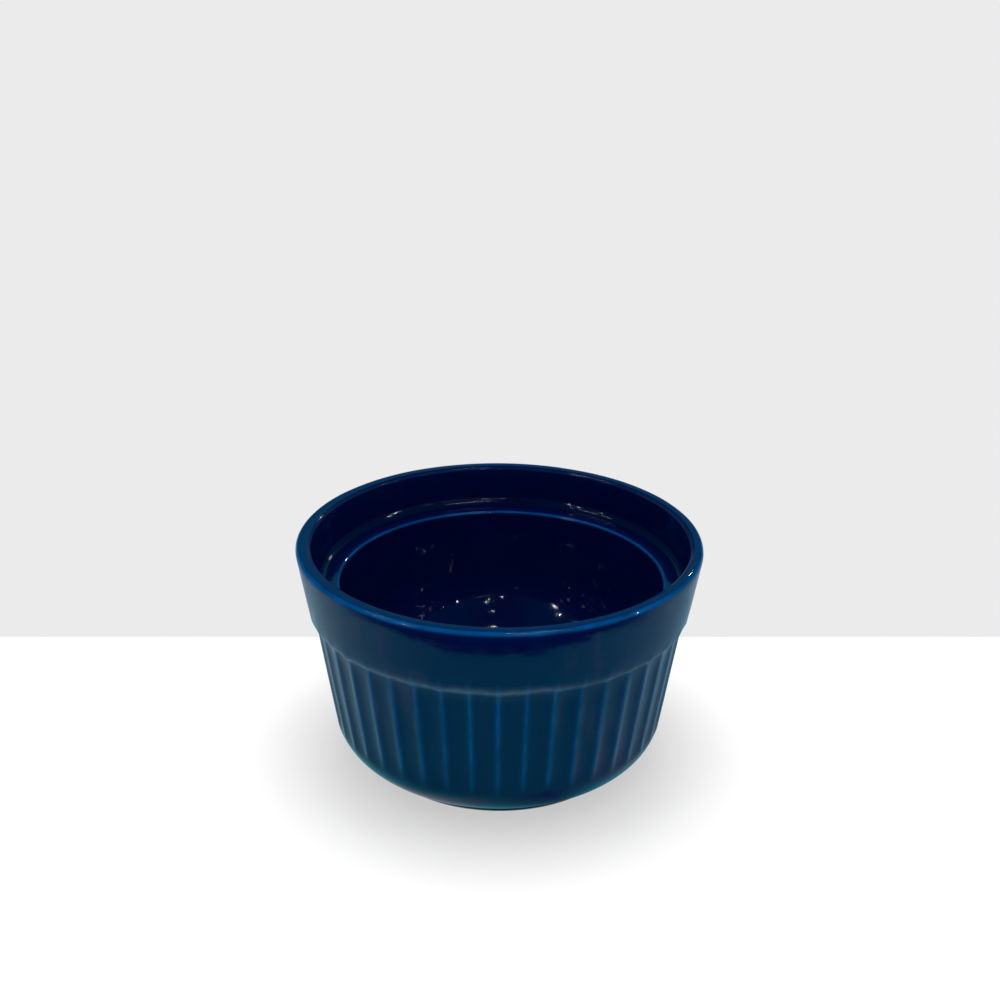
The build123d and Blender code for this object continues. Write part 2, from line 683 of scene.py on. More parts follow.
class Board:
    """A node tree with short ways to add and join its nodes."""

    COLOUR_INPUTS = (6, 7)
    COLOUR_OUTPUT = 2

    def __init__(self, tree: bpy.types.NodeTree) -> None:
        """Keep the tree that the nodes are added to."""
        self.tree = tree

    def add(self, kind: str, **values: object) -> bpy.types.Node:
        """Add a node and set its own properties.

        Args:
            kind: the node's type.
            values: its own properties by name.

        Returns:
            The node.
        """
        node = self.tree.nodes.new(kind)
        for key, value in values.items():
            setattr(node, key, value)
        return node

    def feed(self, source: Source, target: bpy.types.NodeSocket) -> None:
        """Join an output to an input, or set the input to a plain value.

        Args:
            source: an output, or the value.
            target: the input.
        """
        if isinstance(source, bpy.types.NodeSocket):
            self.tree.links.new(source, target)
        else:
            target.default_value = source

    def work_out(self, operation: str, *terms: Source) -> bpy.types.NodeSocket:
        """Add a Math node.

        Args:
            operation: the name of the Math operation.
            terms: its inputs in order, each a socket or a number.

        Returns:
            The node's output.
        """
        node = self.add("ShaderNodeMath", operation=operation)
        for term, target in zip(terms, node.inputs):
            self.feed(term, target)
        return node.outputs[0]

    def blend(self, share: Source, low: Source, high: Source) -> bpy.types.NodeSocket:
        """Mix two colours, each a socket or a colour, by a share.

        Args:
            share: how much of the high colour there is.
            low, high: the colours, or their sockets.

        Returns:
            The colour.
        """
        node = self.add("ShaderNodeMix", data_type="RGBA")
        self.feed(share, node.inputs["Factor"])
        for index, colour in zip(self.COLOUR_INPUTS, (low, high)):
            self.feed(colour, node.inputs[index])
        return node.outputs[self.COLOUR_OUTPUT]

    def grade(self, value: Source, start: float, end: float, first: float = 0.0,
              last: float = 1.0, eased: bool = True) -> bpy.types.NodeSocket:
        """Add a share that changes while a value crosses a range, and holds beyond it.

        Args:
            value: the value to follow.
            start, end: the range that it crosses.
            first, last: the share at both ends of the range.
            eased: whether the share changes gently at both ends.

        Returns:
            The share.
        """
        kind = "SMOOTHSTEP" if eased else "LINEAR"
        node = self.add("ShaderNodeMapRange", interpolation_type=kind)
        names = ("Value", "From Min", "From Max", "To Min", "To Max")
        for name, source in zip(names, (value, start, end, first, last)):
            self.feed(source, node.inputs[name])
        return node.outputs["Result"]

    def ramp(self, share: Source, stops: tuple[tuple[float, Colour], ...]) -> bpy.types.NodeSocket:
        """Add a colour ramp.

        Args:
            share: the place along the ramp.
            stops: the shares at which its colours stand, with the colours.

        Returns:
            The colour.
        """
        node = self.add("ShaderNodeValToRGB")
        self.feed(share, node.inputs["Fac"])
        elements = node.color_ramp.elements
        elements.remove(elements[1])
        for index, (place_share, colour) in enumerate(stops):
            element = elements.new(place_share) if index else elements[0]
            element.position = place_share
            element.color = colour
        return node.outputs["Color"]

    def noise(self, place: Source, scale: Source, detail: float = 2.0) -> bpy.types.NodeSocket:
        """Add soft noise over a place, with values from 0 to 1.

        Args:
            place: the place to follow.
            scale: clouds in each metre.
            detail: layers of finer clouds.

        Returns:
            The value.
        """
        node = self.add("ShaderNodeTexNoise")
        for name, source in {"Vector": place, "Scale": scale, "Detail": detail}.items():
            self.feed(source, node.inputs[name])
        return node.outputs["Fac"]

    def bump(self, height: Source, strength: float, distance: float) -> bpy.types.Node:
        """Add a Bump node on a height.

        Args:
            height: the height, from 0 to 1.
            strength: how much of it counts.
            distance: the depth of a full height.

        Returns:
            The node.
        """
        node = self.add("ShaderNodeBump")
        for name, source in {"Height": height, "Strength": strength, "Distance": distance}.items():
            self.feed(source, node.inputs[name])
        return node

    def mix_shaders(self, share: Source, low: bpy.types.NodeSocket,
                    high: bpy.types.NodeSocket) -> bpy.types.NodeSocket:
        """Mix two shaders by a share.

        Args:
            share: how much of the high shader there is.
            low, high: the shaders' outputs.

        Returns:
            The mixed shader's output.
        """
        node = self.add("ShaderNodeMixShader")
        for source, target in zip((share, low, high), node.inputs):
            self.feed(source, target)
        return node.outputs[0]


def fresh_material(name: str) -> tuple[bpy.types.Material, Board, bpy.types.Node]:
    """Make a material with an empty board and a Principled shader.

    Args:
        name: the name of the material.

    Returns:
        The material, its board and the shader node.
    """
    material = bpy.data.materials.new(name)
    material.use_nodes = True
    material.node_tree.nodes.clear()
    board = Board(material.node_tree)
    shader = board.add("ShaderNodeBsdfPrincipled")
    output = board.add("ShaderNodeOutputMaterial")
    board.feed(shader.outputs["BSDF"], output.inputs["Surface"])
    return material, board, shader


@dataclass(frozen=True)
class FiringUnevenness:
    """The shared node group for the uneven firing of clay and glass, with one use's values.

    The group takes a place, two scales and a sharpness, and gives a soft mask and a
    fine height, both from 0 to 1.

    Attributes:
        coarse_scale: scale of the mask.
        fine_scale: scale of the height.
        sharpness: how firmly the mask's patches end.
    """

    coarse_scale: float
    fine_scale: float
    sharpness: float
    group_name: str = "Firing Unevenness"
    coarse_detail: float = 3.0
    fine_detail: float = 2.0

    def place_in(self, board: Board, place: bpy.types.NodeSocket) -> bpy.types.Node:
        """Place the group in a material with this use's values.

        Args:
            board: the material's board.
            place: the place to follow.

        Returns:
            The group's node, with the outputs Mask and Height.
        """
        tree = bpy.data.node_groups.get(self.group_name) or self.group()
        node = board.add("ShaderNodeGroup", node_tree=tree)
        sources = {"Place": place, "Coarse Scale": self.coarse_scale,
                   "Fine Scale": self.fine_scale, "Sharpness": self.sharpness}
        for name, source in sources.items():
            board.feed(source, node.inputs[name])
        return node

    def group(self) -> bpy.types.NodeTree:
        """Build the group.

        Returns:
            The group's tree.
        """
        tree = bpy.data.node_groups.new(self.group_name, "ShaderNodeTree")
        tree.interface.new_socket("Place", in_out="INPUT", socket_type="NodeSocketVector")
        for name in ("Coarse Scale", "Fine Scale", "Sharpness"):
            tree.interface.new_socket(name, in_out="INPUT", socket_type="NodeSocketFloat")
        for name in ("Mask", "Height"):
            tree.interface.new_socket(name, in_out="OUTPUT", socket_type="NodeSocketFloat")
        board = Board(tree)
        given = board.add("NodeGroupInput")
        made = board.add("NodeGroupOutput")
        place = given.outputs["Place"]
        coarse = board.noise(place, given.outputs["Coarse Scale"], self.coarse_detail)
        fine = board.noise(place, given.outputs["Fine Scale"], self.fine_detail)
        centred = board.work_out("SUBTRACT", coarse, 0.5)
        sharpened = board.work_out("MULTIPLY_ADD", centred, given.outputs["Sharpness"], 0.5)
        held = board.work_out("MINIMUM", board.work_out("MAXIMUM", sharpened, 0.0), 1.0)
        board.feed(held, made.inputs["Mask"])
        board.feed(fine, made.inputs["Height"])
        return tree


# Finishes


class GlazeField(Enum):
    """Names of the values painted on the glass."""

    THIN = "glaze_thin"
    # Painted highlight: a greyish sheen on the shoulder and inside the lip
    WORN = "glaze_painted_sheen"


@dataclass(frozen=True)
class CobaltGlaze:
    """Glossy cobalt glass, nearly black where it lies thick and blue where it breaks thin.

    The painted shares wander with the firing, and a painted highlight, a greyish sheen, lies over
    the colour.
    """

    name: str = "cobalt_glaze"
    # Colour of glass pooled on the floor, and of the painted shade on the step and in its cove
    pooled_and_shaded: Colour = srgb(1, 4, 36)
    thick: Colour = srgb(1, 8, 55)
    breaking: Colour = srgb(0, 38, 84)
    thin: Colour = srgb(1, 70, 128)
    # Colour of the painted highlight, a greyish sheen
    painted_sheen: Colour = srgb(70, 90, 108)
    thick_share: float = 0.04
    breaking_share: float = 0.38
    thin_share: float = 0.80
    reflection_level: float = 0.5
    refraction: float = 1.5
    roughness: float = 0.045
    roughness_spread: float = 0.05
    uneven: FiringUnevenness = FiringUnevenness(160.0, 420.0, 2.2)
    wander_least: float = 0.72
    wander_spread: float = 0.5
    peel_height: float = 0.012 * MM
    peel_strength: float = 0.35
    swell_height: float = 0.05 * MM
    swell_strength: float = 0.5

    def material(self) -> bpy.types.Material:
        """Make the material, which reads the painted thinness and the painted highlight of the
        glass.

        Returns:
            The material.
        """
        material, board, shader = fresh_material(self.name)
        place = board.add("ShaderNodeTexCoord").outputs["Object"]
        uneven = self.uneven.place_in(board, place)
        mask = uneven.outputs["Mask"]
        wander = board.work_out("MULTIPLY_ADD", mask, self.wander_spread, self.wander_least)
        thinness = board.work_out("MULTIPLY", self.painted(board, GlazeField.THIN), wander)
        colour = board.ramp(thinness, (
            (0.0, self.pooled_and_shaded),
            (self.thick_share, self.thick),
            (self.breaking_share, self.breaking),
            (self.thin_share, self.thin),
        ))
        # Lay the painted greyish highlight over the glass's colour
        sheen_share = board.work_out("MULTIPLY", self.painted(board, GlazeField.WORN), wander)
        board.feed(board.blend(sheen_share, colour, self.painted_sheen), shader.inputs["Base Color"])
        rough = board.work_out("MULTIPLY_ADD", mask, self.roughness_spread, self.roughness)
        board.feed(rough, shader.inputs["Roughness"])
        peel = board.bump(uneven.outputs["Height"], self.peel_strength, self.peel_height)
        swell = board.bump(mask, self.swell_strength, self.swell_height)
        board.feed(peel.outputs["Normal"], swell.inputs["Normal"])
        board.feed(swell.outputs["Normal"], shader.inputs["Normal"])
        shader.inputs["Specular IOR Level"].default_value = self.reflection_level
        shader.inputs["IOR"].default_value = self.refraction
        return material

    def painted(self, board: Board, field: GlazeField) -> bpy.types.NodeSocket:
        """Read one of the painted values."""
        return board.add("ShaderNodeAttribute", attribute_name=field.value).outputs["Fac"]


@dataclass(frozen=True)
class BareStoneware:
    """Unglazed fired clay with fine iron specks."""

    name: str = "bare_stoneware"
    pale: Colour = srgb(206, 194, 172)
    warm: Colour = srgb(184, 166, 138)
    speck: Colour = srgb(88, 66, 48)
    roughness: float = 0.82
    roughness_spread: float = 0.12
    uneven: FiringUnevenness = FiringUnevenness(120.0, 2600.0, 1.8)
    grain_height: float = 0.05 * MM
    grain_strength: float = 0.6
    speck_scale: float = 900.0
    speck_size: float = 0.16

    def material(self) -> bpy.types.Material:
        """Make the material of the foot ring and of the clay under the glass.

        Returns:
            The material.
        """
        material, board, shader = fresh_material(self.name)
        place = board.add("ShaderNodeTexCoord").outputs["Object"]
        uneven = self.uneven.place_in(board, place)
        body = board.blend(uneven.outputs["Mask"], self.pale, self.warm)
        specks = board.add("ShaderNodeTexVoronoi")
        board.feed(self.speck_scale, specks.inputs["Scale"])
        board.feed(place, specks.inputs["Vector"])
        near = board.work_out("LESS_THAN", specks.outputs["Distance"], self.speck_size)
        board.feed(board.blend(near, body, self.speck), shader.inputs["Base Color"])
        height = uneven.outputs["Height"]
        rough = board.work_out("MULTIPLY_ADD", height, self.roughness_spread, self.roughness)
        board.feed(rough, shader.inputs["Roughness"])
        grain = board.bump(height, self.grain_strength, self.grain_height)
        board.feed(grain.outputs["Normal"], shader.inputs["Normal"])
        return material


# Pieces


@dataclass
class GlazeCoat:
    """The glass over the inside, the lip and the outside, down to the foot.

    Thinness goes from 0, where the glass pools and where shade is painted on the step, to 1 on a
    sharp edge.
    The painted highlight, a greyish sheen, goes from 0 to 1, is strongest on the left of the
    shoulder, and fades away on the front lip.
    """

    section: DishSection
    flutes: Flutes
    finish: CobaltGlaze
    waver: Push = Push(0.10 * MM, 1.0, cloud_size=14.0 * MM)
    seam_drift: Push = Push(1.0 * MM, 0.5, "Z", "seam", cloud_size=8.0 * MM, cloud_depth=2)
    seam_drift_reach: float = 2.2 * MM
    base_share: float = 0.055
    pool_top: float = 22.0 * MM
    step_shade_top: float = 46.5 * MM
    crest_share: float = 0.50
    collar_crest_share: float = 0.30
    crest_half_width: float = 0.62 * MM
    lip_share: float = 0.72
    lip_spread: float = 0.78 * MM
    lip_power: float = 3.0
    step_share: float = 0.66
    step_spread: float = 0.32 * MM
    foot_line_share: float = 0.85
    foot_line_spread: float = 0.30 * MM
    # The painted highlight: a greyish sheen along the shoulder, weaker on the right, and inside the
    # lip, fading on the front
    seam_sheen_share: float = 0.62
    right_seam_sheen_share: float = 0.24
    seam_sheen_spread: float = 1.0 * MM
    seam_sheen_end: float = 7.0 * MM
    seam_sheen_fade: float = 12.0 * MM
    lip_sheen_share: float = 0.50
    lip_sheen_spread: float = 0.34 * MM
    lip_sheen_end: float = 20.0 * MM
    lip_sheen_fade: float = 14.0 * MM

    def build(self) -> bpy.types.Object:
        """Model, paint, thicken and dress the coat.

        Returns:
            The finished piece.
        """
        work = WheelWork("glaze_skin", self.section, self.flutes)
        piece = work.build(self.section.glazed())
        face_outwards(piece, self.section)
        self.paint(piece)
        self.waver.apply(piece, "waver")
        weigh_points(piece, self.seam_drift.group, self.seam_drift_share)
        self.seam_drift.apply(piece, "drift")
        self.thicken(piece)
        lone(piece)
        bpy.ops.object.shade_smooth()
        piece.data.materials.append(self.finish.material())
        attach(piece, "root")
        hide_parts("glaze_coat")
        return piece

    def seam_drift_share(self, spot: Vector) -> float:
        """Share of the drift up and down that the shoulder has at a place.

        Args:
            spot: the place.

        Returns:
            The share, 1 on the shoulder's own level.
        """
        if spot.xy.length < self.section.step_outer_radius - self.flutes.heel_depth:
            return 0.0
        above = spot.z - self.section.shoulder_height
        return math.exp(-(above / self.seam_drift_reach) ** 2)

    def thicken(self, piece: bpy.types.Object) -> None:
        """Give the glass its thickness, inward.

        Args:
            piece: the open surface, in object mode.
        """
        weigh_points(piece, "coat", self.section.coat_share)
        coat = piece.modifiers.new("coat", "SOLIDIFY")
        coat.thickness = self.section.glaze_thickness
        coat.offset = -1.0
        coat.vertex_group = "coat"
        apply_modifier(piece, coat)

    def paint(self, piece: bpy.types.Object) -> None:
        """Paint how thin the glass is at each point, and the painted highlight there.

        Args:
            piece: the open surface, in object mode.
        """
        for name, share_at in ((GlazeField.THIN, self.thinness), (GlazeField.WORN, self.sheen_share)):
            field = piece.data.attributes.new(name.value, "FLOAT", "POINT")
            values = [share_at(point.co) for point in piece.data.vertices]
            field.data.foreach_set("value", values)

    def unleaned(self, spot: Vector) -> Vector:
        """Where a place on the inside was before it leaned, as (radius, height)."""
        lean = self.section.inside_lean * self.section.inside_share(spot)
        return Vector((Vector((spot.x - lean, spot.y)).length, spot.z))

    def sheen_share(self, spot: Vector) -> float:
        """Share of the painted highlight, a greyish sheen, at a place: on the shoulder and inside
        the lip.

        Args:
            spot: the place.

        Returns:
            The share, from 0 to 1.
        """
        section = self.section
        # Inside the lip the painted highlight follows the inner round and fades away on the front
        # lip
        if section.inside_share(spot):
            inner_radius = section.lip_radius - section.lip_thickness
            lip = Corner(inner_radius, section.lip_height, section.lip_inner_round)
            line = self.edge_line(self.unleaned(spot), lip, self.lip_sheen_spread)
            ahead = smooth_step((-spot.y - self.lip_sheen_end) / self.lip_sheen_fade)
            behind = smooth_step((spot.y - self.lip_sheen_end) / self.lip_sheen_fade)
            return self.lip_sheen_share * line * (1 - ahead) * (1 - behind / 2)
        # On the shoulder the painted highlight follows the round, weaker towards the right
        here = Vector((spot.xy.length, spot.z))
        shoulder_radius = section.collar_lower_radius
        shoulder = Corner(shoulder_radius, section.shoulder_height, section.shoulder_round)
        line = self.edge_line(here, shoulder, self.seam_sheen_spread)
        aside = smooth_step((spot.x - self.seam_sheen_end) / self.seam_sheen_fade)
        change = self.right_seam_sheen_share - self.seam_sheen_share
        return line * (self.seam_sheen_share + change * aside)

    def thinness(self, spot: Vector) -> float:
        """Share of thinness at a place, from 0 for pooled glass and the painted shade on the step,
        to 1 on the sharpest edge.

        Args:
            spot: the place.

        Returns:
            The share.
        """
        section = self.section
        here = Vector((spot.xy.length, spot.z))
        lip = Corner(section.lip_radius, section.lip_height, section.lip_outer_round)
        on_lip = self.lip_share * self.edge_line(here, lip, self.lip_spread, self.lip_power)
        if section.inside_share(spot):
            step = Corner(section.step_inner_radius, section.step_height, section.step_edge_round)
            on_step = self.step_share * self.edge_line(self.unleaned(spot), step, self.step_spread)
            return max(self.base_share * self.thickness_share(spot), on_lip, on_step)
        foot = Corner(section.foot_radius, section.glaze_line)
        on_foot = self.foot_line_share * self.edge_line(here, foot, self.foot_line_spread)
        return max(self.base_share, on_lip, on_foot, self.crest(spot))

    def thickness_share(self, spot: Vector) -> float:
        """Share of plain glass inside: none on the floor, where the glass pools, and none on the
        step, which is darker from pooled glass and painted shade.

        Args:
            spot: the place, on the inside.

        Returns:
            The share, from 0 to 1.
        """
        section = self.section
        # The step and its cove darken from pooled glass and painted shade; below the step edge the
        # floor pools
        bottom, top = section.step_height, self.step_shade_top
        if spot.z < section.step_height - section.step_edge_round:
            bottom, top = section.floor_height, self.pool_top
        return smooth_step((spot.z - bottom) / (top - bottom))

    def edge_line(self, here: Vector, edge: Corner, spread: float, power: float = 2.0) -> float:
        """Find the share that a line along a rounded edge has at a place.

        Args:
            here: the place as (radius, height).
            edge: the edge, with the sharp corner that its round takes off.
            spread: how far the line reaches.
            power: how firmly it ends there.

        Returns:
            The share, 1 on the middle of the round.
        """
        sink = edge.rounding * (1 - math.sqrt(0.5))
        side = math.copysign(sink, edge.radius - self.section.step_outer_radius)
        middle = Vector((edge.radius - side, edge.height - sink))
        return math.exp(-((here - middle).length / spread) ** power)

    def crest(self, spot: Vector) -> float:
        """Thinness along the ridges, and faintly above them on the collar.

        Args:
            spot: the place.

        Returns:
            The share of thinness, 0 off the ridges.
        """
        section = self.section
        radius = spot.xy.length
        foot = self.flutes.foot_height
        top = section.shoulder_height + self.flutes.ripple_reach
        if radius < section.step_inner_radius or not foot <= spot.z <= top:
            return 0.0
        angle = math.degrees(math.atan2(spot.y, spot.x)) - FRONT_DEGREES
        pitch = self.flutes.pitch_degrees
        offset = abs((angle + pitch / 2) % pitch - pitch / 2)
        across = math.radians(offset) * radius / self.crest_half_width
        line = math.exp(-across ** 2)
        if spot.z < section.shoulder_height + section.shoulder_round / 2:
            return line * smooth_step((spot.z - foot) / self.flutes.foot_fade) * self.crest_share
        fade = 1 - smooth_step((spot.z - section.shoulder_height) / self.flutes.ripple_reach)
        return line * fade * self.collar_crest_share


@dataclass
class ClayBody:
    """The fired clay: the dish under its glass, with the bare foot ring."""

    section: DishSection
    flutes: Flutes
    finish: BareStoneware

    def build(self) -> bpy.types.Object:
        """Model and dress the clay.

        Returns:
            The finished piece.
        """
        work = WheelWork("clay_dish", self.section, self.flutes)
        piece = work.build(self.section.clay())
        face_outwards(piece, self.section)
        lone(piece)
        bpy.ops.object.shade_smooth()
        piece.data.materials.append(self.finish.material())
        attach(piece, "root")
        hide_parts("stoneware_body")
        return piece


@dataclass
class BasePool:
    """The patch of glass in the recess under the dish."""

    section: DishSection
    finish: bpy.types.Material
    margin: float = 0.6 * MM
    corners: int = 180
    edge_round: float = 0.16 * MM
    edge_steps: int = 4
    smooth_degrees: float = 50.0
    dip: float = 0.10 * MM
    ring_insets: tuple[float, ...] = (0.9 * MM, 1.6 * MM, 4.0 * MM)

    def build(self) -> bpy.types.Object:
        """Model the pool as a disc whose face dips inside its rounded edge.

        Returns:
            The finished piece.
        """
        thickness = self.section.glaze_thickness
        ceiling = self.section.recess_height + thickness
        radius = self.section.foot_inner_radius - self.margin
        bpy.ops.object.select_all(action="DESELECT")
        bpy.ops.mesh.primitive_cylinder_add(
            vertices=self.corners, radius=radius, depth=thickness,
            location=(0, 0, ceiling - thickness / 2),
        )
        piece = bpy.context.object
        piece.name = "base_glaze_pool"
        bpy.ops.object.transform_apply(location=True, rotation=True, scale=True)
        low = ceiling - thickness
        bpy.ops.object.mode_set(mode="EDIT")
        bpy.ops.mesh.select_mode(type="VERT")
        pick_points(piece, lambda spot: abs(spot.z - low) < WELD_DISTANCE)
        bpy.ops.mesh.bevel(offset=self.edge_round, segments=self.edge_steps, affect="EDGES")
        bpy.ops.mesh.select_mode(type="FACE")
        self.pick_under_face(piece, low)
        for inset in self.ring_insets:
            bpy.ops.mesh.inset(thickness=inset, depth=0.0)
            share = inset / sum(self.ring_insets)
            bpy.ops.transform.translate(value=(0.0, 0.0, self.dip * share))
        bpy.ops.object.mode_set(mode="OBJECT")
        lone(piece)
        bpy.ops.object.shade_smooth_by_angle(angle=math.radians(self.smooth_degrees))
        piece.data.materials.append(self.finish)
        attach(piece, "root")
        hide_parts("base_glaze")
        return piece

    def pick_under_face(self, piece: bpy.types.Object, low: float) -> None:
        """Select the large face that looks down, the only one there with many corners.

        Args:
            piece: the disc, in edit mode.
            low: the height of its lower face.
        """
        mesh = bmesh.from_edit_mesh(piece.data)
        for face in mesh.faces:
            lowest = face.calc_center_median().z < low + WELD_DISTANCE
            face.select_set(lowest and len(face.verts) == self.corners)
        bmesh.update_edit_mesh(piece.data)


# Studio


@dataclass(frozen=True)
class Glint:
    """A small bright lamp that the glass shows as a point.

    Attributes:
        azimuth: degrees from the front, positive to the right.
        elevation: degrees above the table.
        power: watts.
        size: radius of the lamp.
    """

    azimuth: float
    elevation: float
    power: float
    size: float = 9.0 * MM


@dataclass(frozen=True)
class Strip:
    """A lamp tube that the glass shows as a line.

    Attributes:
        start, end: both ends, each as degrees from the front and above the table.
        width: thickness of the tube.
        power: watts.
        colour: the light's colour.
    """

    start: tuple[float, float]
    end: tuple[float, float]
    width: float
    power: float
    colour: tuple[float, float, float] = (1.0, 0.93, 0.72)


@dataclass
class Viewpoint:
    """The photograph's camera."""

    aim_height: float = 24.0 * MM
    distance: float = 362.9 * MM
    elevation_degrees: float = 28.663
    tip_degrees: float = 5.445
    roll_degrees: float = 0.498
    focal_pixels: float = 1581.2
    image_pixels: float = 1000.0
    sensor: float = 36.0
    clip: Span = (0.01, 20.0)

    def build(self) -> None:
        """Place the camera and make it the scene's own."""
        bpy.ops.object.camera_add(location=self.spot)
        camera = bpy.context.object
        camera.name = "photo_camera"
        camera.data.sensor_width = self.sensor
        camera.data.lens = self.focal_pixels * self.sensor / self.image_pixels
        camera.data.clip_start, camera.data.clip_end = self.clip
        camera.rotation_euler = self.turn.to_euler()
        bpy.context.scene.camera = camera

    @property
    def spot(self) -> Vector:
        """Place of the camera.

        Returns:
            The place.
        """
        elevation = math.radians(self.elevation_degrees)
        rise = self.distance * math.sin(elevation)
        return Vector((0.0, -self.distance * math.cos(elevation), self.aim_height + rise))

    @property
    def turn(self) -> Matrix:
        """Rotation of the camera.

        Returns:
            The rotation.
        """
        pitch = math.radians(90.0 - self.elevation_degrees + self.tip_degrees)
        roll = math.radians(self.roll_degrees)
        return Matrix.Rotation(pitch, 3, "X") @ Matrix.Rotation(roll, 3, "Z")

    def table_point(self, across: float, down: float) -> Vector:
        """Find the place on the table that shows at a pixel.

        Args:
            across, down: the pixel, counted from the picture's upper left corner.

        Returns:
            The place, at the height of the table.
        """
        middle = self.image_pixels / 2
        ray = self.turn @ Vector((across - middle, middle - down, -self.focal_pixels))
        return self.spot - ray * (self.spot.z / ray.z)


@dataclass(frozen=True)
class Room:
    """The plain backdrop that the camera sees and the dim room that the glass mirrors.

    Spans are on the unit ball of directions, with X to the right, Y away from the
    front and Z up. Between them one colour of the room turns into the next.
    """

    backdrop: Colour = srgb(235, 235, 235)
    fill: Colour = (0.655, 0.655, 0.655, 1.0)
    below: Colour = (0.27, 0.38, 0.48, 1.0)
    front: Colour = (0.004, 0.02, 0.05, 1.0)
    side: Colour = (0.0, 0.06, 0.10, 1.0)
    back: Colour = (0.16, 0.26, 0.32, 1.0)
    high: Colour = (0.02, 0.25, 0.38, 1.0)
    top: Colour = (0.0, 0.05, 0.12, 1.0)
    horizon_span: Span = (-0.04, 0.04)
    side_span: Span = (0.14, 0.42)
    back_span: Span = (-0.35, 0.45)
    high_span: Span = (0.22, 0.47)
    top_span: Span = (0.58, 0.80)
    patch_span: Span = (0.46, 0.62)
    patch_scale: float = 7.0

    def build(self) -> None:
        """Make the world, which lights the dish evenly."""
        world = bpy.data.worlds.new("studio")
        bpy.context.scene.world = world
        world.use_nodes = True
        world.node_tree.nodes.clear()
        board = Board(world.node_tree)
        path = board.add("ShaderNodeLightPath")
        lit = board.blend(path.outputs["Is Glossy Ray"], self.fill, self.mirrored(board))
        seen = board.blend(path.outputs["Is Camera Ray"], lit, self.backdrop)
        background = board.add("ShaderNodeBackground")
        output = board.add("ShaderNodeOutputWorld")
        board.feed(seen, background.inputs["Color"])
        board.feed(background.outputs[0], output.inputs["Surface"])

    def mirrored(self, board: Board) -> bpy.types.NodeSocket:
        """Add the colour that the glass mirrors from each direction.

        Args:
            board: the world's board.

        Returns:
            The colour.
        """
        direction = board.add("ShaderNodeTexCoord").outputs["Generated"]
        split = board.add("ShaderNodeSeparateXYZ")
        board.feed(direction, split.inputs[0])
        across, away, up = split.outputs
        patch = board.grade(board.noise(direction, self.patch_scale), *self.patch_span)
        back = board.blend(patch, self.side, self.back)
        back = board.blend(board.grade(up, *self.high_span), back, self.high)
        back = board.blend(board.grade(up, *self.top_span), back, self.top)
        upper = board.blend(board.grade(away, *self.back_span), self.front, back)
        aside = board.work_out("ABSOLUTE", across)
        upper = board.blend(board.grade(aside, *self.side_span), upper, self.side)
        return board.blend(board.grade(up, *self.horizon_span, eased=False), self.below, upper)


